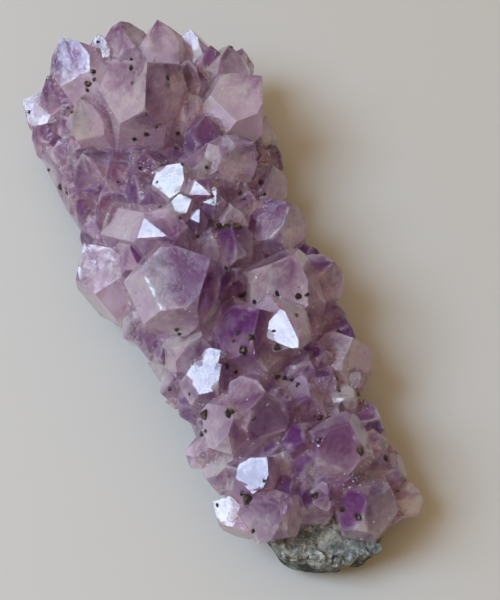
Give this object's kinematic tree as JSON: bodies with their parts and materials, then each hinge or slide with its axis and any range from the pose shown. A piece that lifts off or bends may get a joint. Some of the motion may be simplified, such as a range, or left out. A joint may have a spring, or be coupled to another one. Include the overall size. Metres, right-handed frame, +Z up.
{
  "type": "amethyst cluster",
  "caption": "Loose amethyst cluster: an elongated crust of pointed violet quartz crystals grown together on a slab of grey-green rock, flat underneath.",
  "frame": {"origin": "on the surface it rests on, under the middle of its box", "axes": "+Z up out of the crystals' side, +Y along the long side towards the far end in the picture, +X to the right"},
  "size_m": [0.0504, 0.1187, 0.0345],
  "materials": {
    "amethyst": "see-through violet quartz with bright flat faces and milky patches",
    "basalt": "matt broken volcanic rock, grey-green with pale specks"
  },
  "bodies": {
    "root": {"amethyst_crystals": "amethyst", "basalt_matrix": "basalt"}
  },
  "joints": []
}
